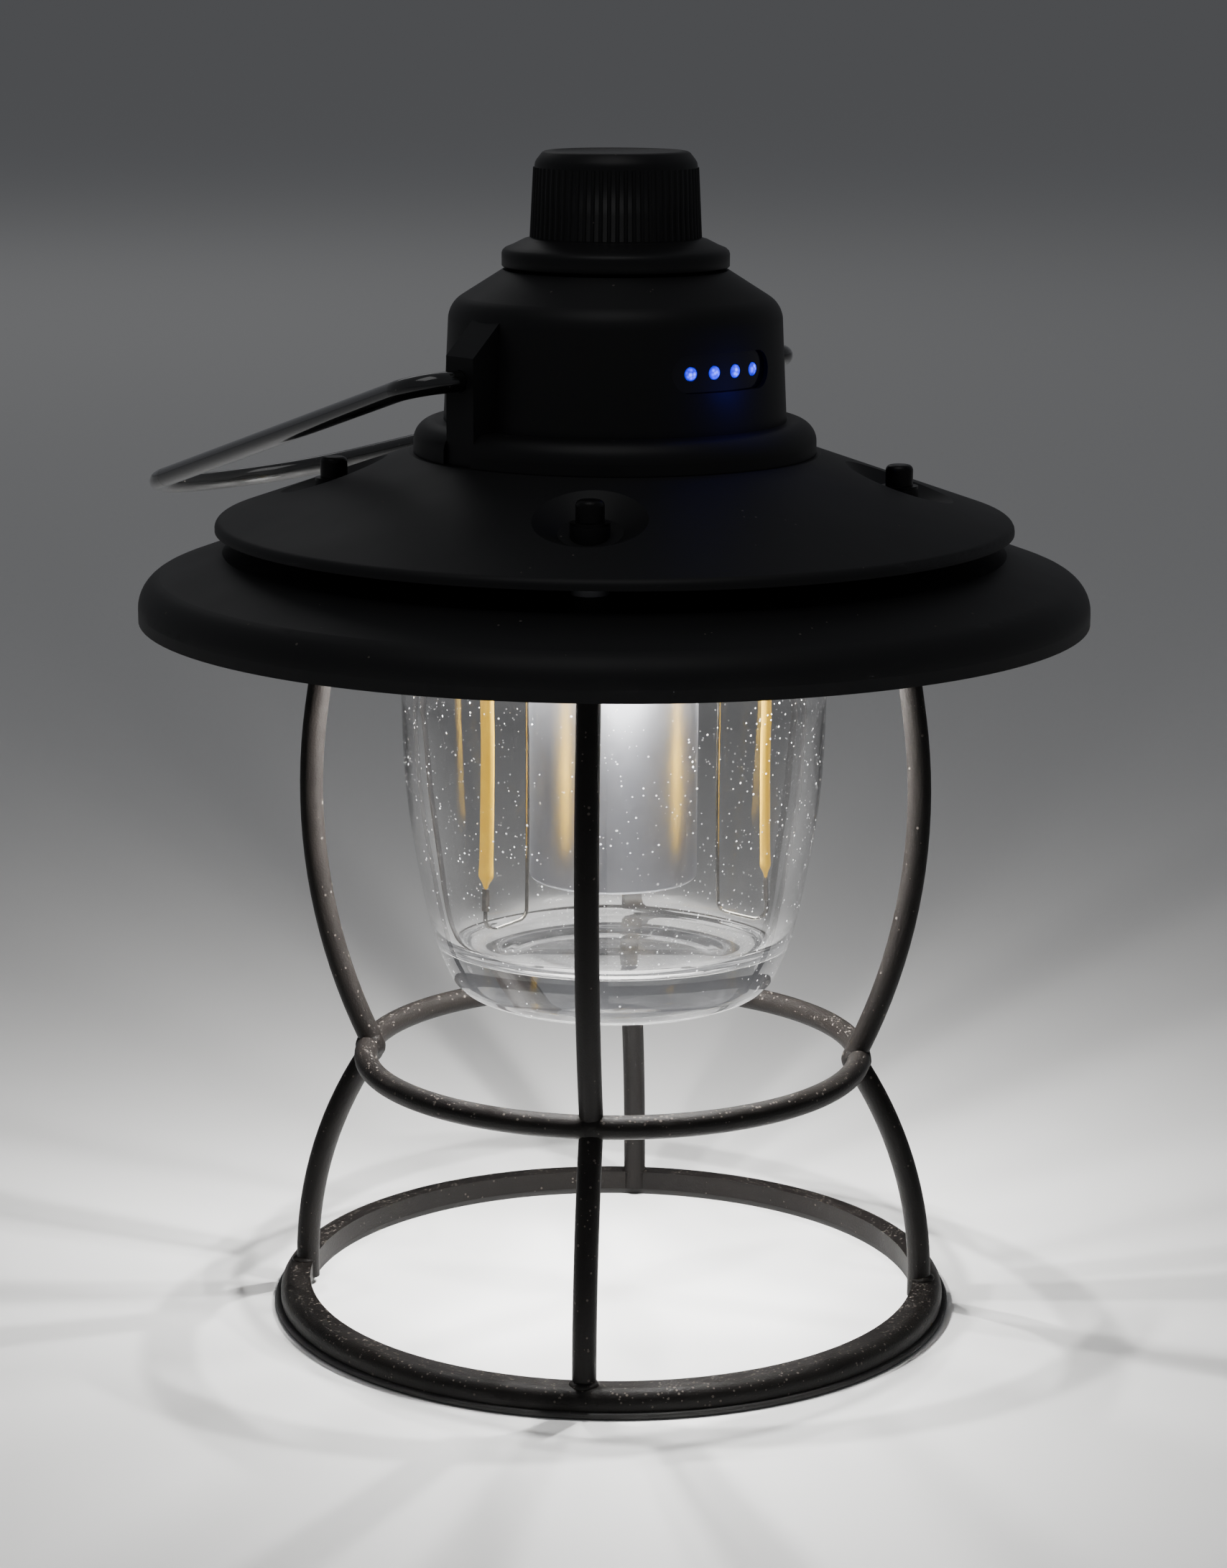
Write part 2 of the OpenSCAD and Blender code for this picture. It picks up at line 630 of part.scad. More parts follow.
module indicator_lights() color([0.35, 0.45, 1])
    at_lights() rotate([90, 0, 0]) {
        translate([0, 0, strip_r]) cylinder(r = light_r, h = bezel_r + light_out - strip_r);
        translate([0, 0, bezel_r + light_out]) scale(0.98) intersection() {
            sphere(r = light_r);
            translate([-2, -2, -1]) cube([4, 4, 1 + light_out + 0.1]);
        }
    }

module indicator_bezel() color([0.08, 0.08, 0.09])
    difference() {
        slot_slice(bezel_r, bezel_t, slot_w - 2 * slip, slot_h - 2 * slip);
        at_lights() translate([0, -bezel_r - 1, 0]) rotate([-90, 0, 0]) cylinder(r = light_r + slip, h = 4);
    }

module dimmer_body() color([0.5, 0.5, 0.52])
    difference() {
        union() {
            translate([0, 0, 142.4]) cylinder(r = 8.5, h = head_top_z - housing_t - 0.6 - 142.4);
            translate([0, 0, 148]) cylinder(r = bushing_r, h = head_top_z + 2.6 - 148);
        }
        translate([0, 0, 144]) cylinder(r = shaft_r + slip, h = 20);
    }

module dimmer_washer() color([0.7, 0.7, 0.7]) band(6, bushing_r + slip, head_top_z, 0.4);

module dimmer_nut() color([0.72, 0.72, 0.7])
    translate([0, 0, head_top_z + 0.4]) difference() {
        cylinder(d = 11.4, h = 1.8, $fn = 6);
        translate([0, 0, -1]) cylinder(r = bushing_r, h = 4);
    }

// ---- Moving pieces ----

module dimmer_shaft() color([0.75, 0.75, 0.75])
    difference() {
        translate([0, 0, 144.1]) cylinder(r = shaft_r, h = 163 - 144.1);
        translate([-4, 1.5, 157]) cube([8, 4, 10]);
    }

// Half outline of the knob: thin skirt, hollow flank, tapering grip, bevelled face
module knob_outline() difference() {
    polygon([[0, skirt_z], [skirt_r, skirt_z], [skirt_r, skirt_z + skirt_h], [skirt_r - 0.5, skirt_z + skirt_h + 0.6],
        [14.6, 155.9], [13, 156.7], [grip_r, grip_z], [grip_top_r, grip_top_z], [grip_top_r - 0.3, 167.8],
        [face_r + 0.5, 168.75], [face_r - 0.3, knob_top_z], [0, knob_top_z]]);
    polygon([[-1, skirt_z - 1], [skirt_r - 1.8, skirt_z - 1], [skirt_r - 1.8, skirt_z + 0.8],
        [7.5, skirt_z + 3.4], [-1, skirt_z + 3.4]]);
}

module dimmer_knob() color([0.1, 0.1, 0.105])
    difference() {
        union() {
            rotate_extrude() knob_outline();
            for (i = [0 : rib_n - 1]) rotate([0, 0, i * 360 / rib_n]) translate([grip_r - 0.12, 0, grip_z])
                rotate([0, -atan((grip_r - grip_top_r) / (grip_top_z - grip_z)), 0])
                    cylinder(r = rib_r, h = rib_top_z - grip_z, $fn = 16);
        }
        intersection() {
            translate([0, 0, skirt_z]) cylinder(r = shaft_r, h = 163 - skirt_z);
            union() {
                translate([-4, -4, skirt_z]) cube([8, 5.5, 20]);
                translate([-4, -4, skirt_z]) cube([8, 8, 157 - skirt_z]);
            }
        }
    }

// Wire bail: pins in the lugs, two converging arms and a rounded end, lying back and down
module bail() color([0.06, 0.06, 0.065])
    translate([0, 0, pivot_z]) rotate([-bail_tilt, 0, 0])
        bent_bar([[bail_end_x, 0], [bail_half_w, 0], [bail_end_half_w, bail_reach], [-bail_end_half_w, bail_reach],
            [-bail_half_w, 0], [-bail_end_x, 0]], [0, pivot_bend, corner_bend, corner_bend, pivot_bend, 0], wire_d);

// Rubber cover of the charging port, with a plug behind it and a barrel round the pin
module port_cover() color([0.15, 0.15, 0.15])
    difference() {
        union() {
            translate([-cover_w / 2, pad_y + 0.1, cover_low]) cube([cover_w, cover_t, cover_high - cover_low]);
            translate([-4.4, pad_y + 0.1, hinge_z]) cube([8.8, cover_t, cover_low - hinge_z + eps]);
            translate([0, hinge_y, hinge_z]) rotate([0, 90, 0]) cylinder(r = hinge_barrel_r, h = 8.8, center = true);
        }
        translate([0, hinge_y, hinge_z]) rotate([0, 90, 0]) cylinder(d = hinge_pin_d + 2 * slip, h = 12, center = true);
    }

foot_gasket();
base_ring();
middle_ring();
leg_front_left();
leg_front_right();
leg_back_left();
leg_back_right();
lower_shade();
upper_shade();
shade_spacers();
leg_collars();
nut_washers();
cap_nuts();
globe();
globe_gasket();
globe_ring();
lamp_plate();
reflector();
lamp_screws();
lamp_nuts();
filaments();
filament_tabs();
filament_wires();
filament_holders();
battery_tube();
tube_collar();
tube_cap();
battery_sleeve();
battery_cell();
contact_spring();
contact_plate();
top_housing();
housing_screws();
main_board();
board_screws();
charge_port();
cover_pin();
indicator_board();
indicator_lights();
indicator_bezel();
dimmer_body();
dimmer_washer();
dimmer_nut();
dimmer_shaft();
dimmer_knob();
bail();
port_cover();
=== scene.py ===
"""A rechargeable camping lantern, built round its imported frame, piece by piece from the bench up."""

import math

import bmesh
import bpy
from mathutils import Matrix, Vector


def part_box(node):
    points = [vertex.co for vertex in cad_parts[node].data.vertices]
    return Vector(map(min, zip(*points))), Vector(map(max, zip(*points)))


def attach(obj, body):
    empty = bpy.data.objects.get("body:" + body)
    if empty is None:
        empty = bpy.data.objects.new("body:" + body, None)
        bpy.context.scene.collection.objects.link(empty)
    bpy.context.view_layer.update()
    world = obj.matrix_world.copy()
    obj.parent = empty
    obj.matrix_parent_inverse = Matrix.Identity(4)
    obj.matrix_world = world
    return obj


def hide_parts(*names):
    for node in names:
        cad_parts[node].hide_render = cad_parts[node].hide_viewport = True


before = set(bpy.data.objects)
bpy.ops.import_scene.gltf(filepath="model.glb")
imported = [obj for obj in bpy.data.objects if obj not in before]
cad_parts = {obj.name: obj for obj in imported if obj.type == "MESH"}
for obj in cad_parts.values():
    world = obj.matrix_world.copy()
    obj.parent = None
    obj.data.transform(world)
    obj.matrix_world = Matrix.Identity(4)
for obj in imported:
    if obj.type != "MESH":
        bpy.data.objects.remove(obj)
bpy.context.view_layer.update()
mm = 0.001

# ---------------------------------------------------------------------------------------------
# The bench, the light and the camera. The lantern stands on a plain pale bench, lit mostly by its
# own filaments and a little by two wide soft lamps that hang over the bench and face straight down.

bench_colour = (0.66, 0.66, 0.655, 1)
bench_roughness = 0.6
bench_half = 60.0
sky_colour = (0.92, 0.94, 1.0, 1)
sky_strength = 0.13
lamp_width = 0.9
# Place in metres and watts
lamps_overhead = {
    "near_lamp": ((-0.4, -0.3, 1.5), 2.2),
    "back_lamp": ((0.75, 1.5, 1.1), 1.3),
}
camera_away = 514.3 * mm
camera_height = 191.9 * mm
camera_side = math.radians(40.4)
camera_down = math.radians(12.48)
camera_roll = math.radians(0.246)
camera_lens = 106.2
camera_sensor = 36.0
camera_clips = (0.01, 200.0)

bench_mesh = bpy.data.meshes.new("bench")
bench_corners = [(-bench_half, -bench_half, 0), (bench_half, -bench_half, 0)]
bench_corners += [(bench_half, bench_half, 0), (-bench_half, bench_half, 0)]
bench_mesh.from_pydata(bench_corners, [], [(0, 1, 2, 3)])
bench = bpy.data.objects.new("bench", bench_mesh)
bpy.context.scene.collection.objects.link(bench)
bench_paint = bpy.data.materials.new("bench_paint")
bench_paint.use_nodes = True
bench_shader = bench_paint.node_tree.nodes["Principled BSDF"]
bench_shader.inputs["Base Color"].default_value = bench_colour
bench_shader.inputs["Roughness"].default_value = bench_roughness
bench_shader.inputs["Specular IOR Level"].default_value = 0.0
bench_mesh.materials.append(bench_paint)

sky = bpy.data.worlds.new("soft_sky")
sky.use_nodes = True
sky_light = sky.node_tree.nodes["Background"]
sky_light.inputs["Color"].default_value = sky_colour
sky_light.inputs["Strength"].default_value = sky_strength
bpy.context.scene.world = sky

for lamp_name, (lamp_place, lamp_watts) in lamps_overhead.items():
    lamp_data = bpy.data.lights.new(lamp_name, "AREA")
    lamp_data.size = lamp_width
    lamp_data.energy = lamp_watts
    lamp = bpy.data.objects.new(lamp_name, lamp_data)
    lamp.location = lamp_place
    bpy.context.scene.collection.objects.link(lamp)

camera_data = bpy.data.cameras.new("camera")
camera_data.sensor_fit = "HORIZONTAL"
camera_data.sensor_width = camera_sensor
camera_data.lens = camera_lens
camera_data.clip_start, camera_data.clip_end = camera_clips
camera = bpy.data.objects.new("camera", camera_data)
camera.matrix_world = (
    Matrix.Rotation(-camera_side, 4, "Z")
    @ Matrix.Translation((0, -camera_away, camera_height))
    @ Matrix.Rotation(math.pi / 2 - camera_down, 4, "X")
    @ Matrix.Rotation(camera_roll, 4, "Z")
)
bpy.context.scene.collection.objects.link(camera)
bpy.context.scene.camera = camera

# ---------------------------------------------------------------------------------------------
# The foot: a flat rubber gasket pressed under the base ring, which is rolled from steel strip with a
# rounded upper edge. The ring is powder coated a warm black, and dust has settled in the coat.


def node(tree, kind, **settings):
    made = tree.nodes.new(kind)
    for key, value in settings.items():
        setattr(made, key, value)
    return made


def feed(tree, socket, value):
    """Links a socket, or sets its value."""
    if isinstance(value, bpy.types.NodeSocket):
        tree.links.new(value, socket)
    else:
        socket.default_value = value


def maths(tree, operation, first, second=0.0, clamp=False):
    """The result of one Math node on two sockets or numbers."""
    made = node(tree, "ShaderNodeMath", operation=operation, use_clamp=clamp)
    feed(tree, made.inputs[0], first)
    feed(tree, made.inputs[1], second)
    return made.outputs[0]


# Places of a colour Mix node's own sockets among those of its other data types
mix_share, mix_first, mix_second, mix_result = 0, 6, 7, 2


def blended(tree, share, first, second):
    """Two colours mixed by a share."""
    made = node(tree, "ShaderNodeMix", data_type="RGBA")
    feed(tree, made.inputs[mix_share], share)
    feed(tree, made.inputs[mix_first], first)
    feed(tree, made.inputs[mix_second], second)
    return made.outputs[mix_result]


def new_group(name, inputs, outputs, kind="ShaderNodeTree"):
    """An empty node group with named inputs (title, socket, value) and outputs (title, socket)."""
    tree = bpy.data.node_groups.new(name, kind)
    for title, socket_kind, value in inputs:
        socket = tree.interface.new_socket(title, in_out="INPUT", socket_type=socket_kind)
        if value is not None:
            socket.default_value = value
    for title, socket_kind in outputs:
        tree.interface.new_socket(title, in_out="OUTPUT", socket_type=socket_kind)
    return tree, node(tree, "NodeGroupInput"), node(tree, "NodeGroupOutput")


def place_in_cells(tree, cell):
    """Object coordinates divided by a cell size in metres."""
    scaled = node(tree, "ShaderNodeVectorMath", operation="SCALE")
    feed(tree, scaled.inputs[0], node(tree, "ShaderNodeTexCoord").outputs["Object"])
    feed(tree, scaled.inputs["Scale"], maths(tree, "DIVIDE", 1.0, cell))
    return scaled.outputs[0]


def make_grain():
    """Fine orange-peel grain of a sprayed or moulded skin: its height, and a slower change of tone."""
    tree, given, out = new_group(
        "fine_grain",
        [("Grain Size", "NodeSocketFloat", 0.4 * mm), ("Tone Size", "NodeSocketFloat", 12 * mm)],
        [("Height", "NodeSocketFloat"), ("Tone", "NodeSocketFloat")],
    )
    for size, detail, title in (("Grain Size", 2.0, "Height"), ("Tone Size", 3.0, "Tone")):
        noise = node(tree, "ShaderNodeTexNoise")
        feed(tree, noise.inputs["Vector"], place_in_cells(tree, given.outputs[size]))
        noise.inputs["Scale"].default_value = 1.0
        noise.inputs["Detail"].default_value = detail
        feed(tree, out.inputs[title], noise.outputs["Fac"])
    return tree


def make_dust():
    """Dust specks: round grains up to a share of their cell, thicker where the surface faces up."""
    tree, given, out = new_group(
        "settled_dust",
        [
            ("Speck Size", "NodeSocketFloat", 0.6 * mm),
            ("Everywhere", "NodeSocketFloat", 0.1),
            ("On Top", "NodeSocketFloat", 0.4),
            ("Largest", "NodeSocketFloat", 0.42),
        ],
        [("Mask", "NodeSocketFloat")],
    )
    cells = node(tree, "ShaderNodeTexVoronoi")
    feed(tree, cells.inputs["Vector"], place_in_cells(tree, given.outputs["Speck Size"]))
    cells.inputs["Scale"].default_value = 1.0
    chance = node(tree, "ShaderNodeSeparateColor")
    feed(tree, chance.inputs[0], cells.outputs["Color"])
    facing = node(tree, "ShaderNodeSeparateXYZ")
    feed(tree, facing.inputs[0], node(tree, "ShaderNodeNewGeometry").outputs["Normal"])
    upward = maths(tree, "MAXIMUM", facing.outputs["Z"], 0.0)
    likely = maths(tree, "MULTIPLY", upward, given.outputs["On Top"])
    likely = maths(tree, "ADD", likely, given.outputs["Everywhere"])
    chosen = maths(tree, "LESS_THAN", chance.outputs[0], likely)
    size = maths(tree, "MULTIPLY", chance.outputs[1], given.outputs["Largest"])
    speck = maths(tree, "LESS_THAN", cells.outputs["Distance"], size)
    feed(tree, out.inputs["Mask"], maths(tree, "MULTIPLY", chosen, speck))
    return tree


grain_group = make_grain()
dust_group = make_dust()


def group_in(tree, group, values):
    """Places a node group in a material with its own values."""
    made = node(tree, "ShaderNodeGroup", node_tree=group)
    for title, value in values.items():
        feed(tree, made.inputs[title], value)
    return made


def start_material(name, roughness, metallic=0.0):
    """A new material, its node tree and its Principled shader."""
    material = bpy.data.materials.new(name)
    material.use_nodes = True
    shader = material.node_tree.nodes["Principled BSDF"]
    shader.inputs["Roughness"].default_value = roughness
    shader.inputs["Metallic"].default_value = metallic
    return material, material.node_tree, shader


bump_strength = 0.6
coat_roughness = 0.1
dust_roughness = 0.4
middle_tone = 0.5


def bump_into(tree, shader, height, depth):
    """Raises the surface by a height of 0 to 1 times a depth in metres."""
    bump = node(tree, "ShaderNodeBump")
    bump.inputs["Strength"].default_value = bump_strength
    bump.inputs["Distance"].default_value = depth
    feed(tree, bump.inputs["Height"], height)
    feed(tree, shader.inputs["Normal"], bump.outputs["Normal"])


def grained(
    name, dark, light, roughness, metallic=0.0, grain=0.35, depth=0.03, tone=12, swing=0.25,
    dust=(0.0, 0.02), speck=0.4, dust_colour=(0.10, 0.09, 0.08), coat=0.0, shine=0.5,
):
    """A skin with grain, a slow change of tone, and dust. Its sizes are in millimetres."""
    material, tree, shader = start_material(name, roughness, metallic)
    skin = group_in(tree, grain_group, {"Grain Size": grain * mm, "Tone Size": tone * mm})
    specks = group_in(
        tree, dust_group, {"Speck Size": speck * mm, "Everywhere": dust[0], "On Top": dust[1]}
    )
    colour = blended(tree, skin.outputs["Tone"], (*dark, 1), (*light, 1))
    dusty = blended(tree, specks.outputs["Mask"], colour, (*dust_colour, 1))
    feed(tree, shader.inputs["Base Color"], dusty)
    dusty_rough = maths(tree, "MULTIPLY", specks.outputs["Mask"], dust_roughness)
    rough = maths(tree, "MULTIPLY", maths(tree, "SUBTRACT", skin.outputs["Tone"], middle_tone), swing)
    rough = maths(tree, "ADD", rough, roughness)
    rough = maths(tree, "ADD", rough, dusty_rough, True)
    feed(tree, shader.inputs["Roughness"], rough)
    shader.inputs["Specular IOR Level"].default_value = shine
    shader.inputs["Coat Weight"].default_value = coat
    shader.inputs["Coat Roughness"].default_value = coat_roughness
    raised = maths(tree, "ADD", skin.outputs["Height"], specks.outputs["Mask"])
    bump_into(tree, shader, raised, depth * mm)
    return material


def dress(material, *names):
    """Gives CAD nodes their finish."""
    for name in names:
        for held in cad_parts[name].material_slots:
            held.material = material


gasket_rubber = grained("gasket_rubber", (0.010, 0.010, 0.010), (0.022, 0.021, 0.020), 0.75)
stand_coat = grained(
    "stand_powder_coat", (0.0035, 0.0030, 0.0028), (0.008, 0.0068, 0.006), 0.55, grain=0.3, depth=0.08,
    tone=5, swing=0.15, dust=(0.05, 0.6), speck=0.5, dust_colour=(0.075, 0.066, 0.058), shine=0.16,
)
dress(gasket_rubber, "foot_gasket")
dress(stand_coat, "base_ring")

# ---------------------------------------------------------------------------------------------
# The cage: a ring of round rod between the globe and the foot, and four legs bent from the same rod.
# Every crossing is welded, and the bead stands proud under the shared powder coat.

ring_bead_across = 4.35 * mm
ring_bead_tall = 5.0 * mm
ring_bead_lumps = 0.64 * mm
foot_bead_across = 4.1 * mm
foot_bead_tall = 1.5 * mm
foot_bead_lumps = 0.48 * mm
ring_bead_in = 0.35 * mm
foot_bead_in = 3.1 * mm
leg_turns = [math.radians(angle) for angle in (45, 135, 225, 315)]
ring_low, ring_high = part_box("middle_ring")
ring_mid_z = (ring_low.z + ring_high.z) / 2
ring_mid_r = (ring_high.x - (ring_high.z - ring_low.z) / 2) - ring_bead_in
base_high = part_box("base_ring")[1]
foot_mid_r = base_high.x - foot_bead_in


def points_mesh(name, places):
    """A mesh of loose points to stand copies on."""
    mesh = bpy.data.meshes.new(name)
    mesh.from_pydata(places, [], [])
    return mesh


def grow(name, mesh, tree, values):
    """Runs a Geometry Nodes tree on a mesh and keeps the result as a plain mesh piece."""
    piece = bpy.data.objects.new(name, mesh)
    bpy.context.scene.collection.objects.link(piece)
    modifier = piece.modifiers.new("grown", "NODES")
    modifier.node_group = tree
    for socket in tree.interface.items_tree:
        if socket.item_type == "SOCKET" and socket.in_out == "INPUT" and socket.name in values:
            modifier[socket.identifier] = values[socket.name]
    ready = piece.evaluated_get(bpy.context.evaluated_depsgraph_get())
    plain = bpy.data.meshes.new_from_object(ready)
    piece.modifiers.clear()
    piece.data = plain
    plain.name = name
    return piece


bead_segments = 40
bead_rings = 24
bead_lumps_per_metre = 520.0


def make_bead_tree():
    """A lumpy bead of weld at every point of the mesh."""
    tree, given, out = new_group(
        "weld_beads",
        [
            ("Geometry", "NodeSocketGeometry", None),
            ("Across", "NodeSocketFloat", 4 * mm),
            ("Tall", "NodeSocketFloat", 5 * mm),
            ("Lumps", "NodeSocketFloat", 0.1 * mm),
            ("Finish", "NodeSocketMaterial", None),
        ],
        [("Geometry", "NodeSocketGeometry")],
        "GeometryNodeTree",
    )
    ball = node(tree, "GeometryNodeMeshUVSphere")
    ball.inputs["Segments"].default_value = bead_segments
    ball.inputs["Rings"].default_value = bead_rings
    ball.inputs["Radius"].default_value = 0.5
    size = node(tree, "ShaderNodeCombineXYZ")
    for axis, title in (("X", "Across"), ("Y", "Across"), ("Z", "Tall")):
        feed(tree, size.inputs[axis], given.outputs[title])
    beads = node(tree, "GeometryNodeInstanceOnPoints")
    feed(tree, beads.inputs["Points"], given.outputs["Geometry"])
    feed(tree, beads.inputs["Instance"], ball.outputs["Mesh"])
    feed(tree, beads.inputs["Scale"], size.outputs[0])
    real = node(tree, "GeometryNodeRealizeInstances")
    feed(tree, real.inputs[0], beads.outputs[0])
    noise = node(tree, "ShaderNodeTexNoise")
    noise.inputs["Scale"].default_value = bead_lumps_per_metre
    noise.inputs["Detail"].default_value = 1.0
    off = node(tree, "ShaderNodeVectorMath", operation="SCALE")
    feed(tree, off.inputs[0], node(tree, "GeometryNodeInputNormal").outputs[0])
    in_or_out = maths(tree, "SUBTRACT", noise.outputs["Fac"], 0.5)
    feed(tree, off.inputs["Scale"], maths(tree, "MULTIPLY", in_or_out, given.outputs["Lumps"]))
    moved = node(tree, "GeometryNodeSetPosition")
    feed(tree, moved.inputs["Geometry"], real.outputs[0])
    feed(tree, moved.inputs["Offset"], off.outputs[0])
    smooth_faces = node(tree, "GeometryNodeSetShadeSmooth")
    feed(tree, smooth_faces.inputs[0], moved.outputs[0])
    painted = node(tree, "GeometryNodeSetMaterial")
    feed(tree, painted.inputs["Geometry"], smooth_faces.outputs[0])
    feed(tree, painted.inputs["Material"], given.outputs["Finish"])
    feed(tree, out.inputs[0], painted.outputs[0])
    return tree


bead_tree = make_bead_tree()
ring_crossings = [(ring_mid_r * math.cos(a), ring_mid_r * math.sin(a), ring_mid_z) for a in leg_turns]
foot_joints = [(foot_mid_r * math.cos(a), foot_mid_r * math.sin(a), base_high.z) for a in leg_turns]
ring_beads = grow(
    "ring_weld_beads", points_mesh("ring_weld_places", ring_crossings), bead_tree,
    {"Across": ring_bead_across, "Tall": ring_bead_tall, "Lumps": ring_bead_lumps, "Finish": stand_coat},
)
foot_beads = grow(
    "foot_weld_beads", points_mesh("foot_weld_places", foot_joints), bead_tree,
    {"Across": foot_bead_across, "Tall": foot_bead_tall, "Lumps": foot_bead_lumps, "Finish": stand_coat},
)
for beads in (ring_beads, foot_beads):
    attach(beads, "lantern")
dress(stand_coat, "middle_ring", "leg_front_left", "leg_front_right", "leg_back_left", "leg_back_right")

# ---------------------------------------------------------------------------------------------
# The shades: two spun aluminium dishes, one over the other, on spacers that slip over the legs.
# Collars under the lower one carry the weight, and both are lacquered a matte near-black.

shade_lacquer = grained(
    "shade_lacquer", (0.0075, 0.0075, 0.008), (0.0115, 0.0115, 0.012), 0.5, grain=0.25, depth=0.012, tone=20,
    swing=0.14, dust=(0.0, 0.006), speck=0.5, shine=0.3,
)
bright_spacer = grained(
    "turned_aluminium", (0.45, 0.45, 0.46), (0.60, 0.60, 0.61), 0.34, 1.0, grain=0.2, depth=0.01
)
dress(shade_lacquer, "lower_shade", "upper_shade")
dress(bright_spacer, "shade_spacers", "leg_collars")

# ---------------------------------------------------------------------------------------------
# The nuts: one capped nut and a thin washer on the threaded end of each leg, blackened steel with
# a little more gloss than the shade, and tightened down into its pressed dish.

black_oxide = grained(
    "black_oxide", (0.006, 0.006, 0.006), (0.014, 0.013, 0.013), 0.34, 0.6, grain=0.3, depth=0.02, tone=2
)
dress(black_oxide, "cap_nuts", "nut_washers")

# ---------------------------------------------------------------------------------------------
# The globe: a thick clear tumbler pressed in one piece, with a heavy foot, a level floor inside and
# a flange that the ring clamps against a silicone gasket. It is polished, with a little dust on it.
# A painted glow lights its foot and its dust specks.

globe_low, globe_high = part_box("globe")
globe_r = 30.75 * mm
globe_flange_r = globe_high.x
globe_flange_t = 2.2 * mm
globe_base_t = 8.3 * mm
globe_turns = 160
globe_steps = 10
globe_light_index = 1.49
globe_polish = 0.02
# Strength and tint of the painted glow in the globe's foot and on its dust specks
globe_painted_glow = 0.6
painted_glow_tint = (0.96, 0.97, 1, 1)
shadow_let_through = 0.9
# Share of the belly radius and height in millimetres above the lowest point
globe_side = [
    (-0.4, 0.4), (0, 1.1), (0.36, 0.85), (0.49, 0.3), (0.555, 0.0), (0.62, 0.18), (0.7, 1.0), (0.75, 2.1),
    (0.79, 4.0), (0.866, 10.3), (0.94, 21.8), (0.985, 32.6), (1.0, 44.3), (1.0, 54.3),
]
globe_bore = [
    (-0.4, 8.35), (0, 8.35), (0.5, 8.3), (0.66, 8.3), (0.74, 9.2), (0.785, 12.5),
    (0.83, 20.8), (0.885, 32.3), (0.915, 44.3), (0.915, 54.3),
]


def smooth_line(points, steps):
    """Catmull-Rom curve through all but the first and last of the points."""
    line = []
    for i in range(1, len(points) - 2):
        a, b, c, d = (Vector(points[i + k]) for k in (-1, 0, 1, 2))
        for k in range(steps):
            t = k / steps
            bend = 2 * b + (c - a) * t + (2 * a - 5 * b + 4 * c - d) * t * t + (3 * b - a - 3 * c + d) * t**3
            line.append(tuple(bend / 2))
    return line + [tuple(points[-2])]


def new_piece(name, bm, material):
    """Keeps a bmesh as a piece with outward normals."""
    mesh = bpy.data.meshes.new(name)
    bmesh.ops.recalc_face_normals(bm, faces=bm.faces)
    bm.to_mesh(mesh)
    bm.free()
    mesh.materials.append(material)
    piece = bpy.data.objects.new(name, mesh)
    bpy.context.scene.collection.objects.link(piece)
    return piece


def lathe(name, outline, turns, material, sharp=math.radians(38)):
    """Turns an outline of (radius, height) about Z. Points on the axis become one pole each, and an
    outline that doesn't start on the axis is closed."""
    on_axis = 1e-7
    bm = bmesh.new()
    rings = []
    for radius, height in outline:
        if radius < on_axis:
            rings.append([bm.verts.new((0, 0, height))] * turns)
            continue
        angles = [math.tau * k / turns for k in range(turns)]
        rings.append([bm.verts.new((radius * math.cos(a), radius * math.sin(a), height)) for a in angles])
    closed = outline[0][0] >= on_axis
    for i in range(len(rings) if closed else len(rings) - 1):
        low, high = rings[i], rings[(i + 1) % len(rings)]
        for k in range(turns):
            corners = [low[k], low[(k + 1) % turns], high[(k + 1) % turns], high[k]]
            corners = list(dict.fromkeys(corners))
            if len(corners) > 2:
                bm.faces.new(corners).smooth = True
    for edge in bm.edges:
        if len(edge.link_faces) == 2 and edge.calc_face_angle(0) > sharp:
            edge.smooth = False
    return new_piece(name, bm, material)


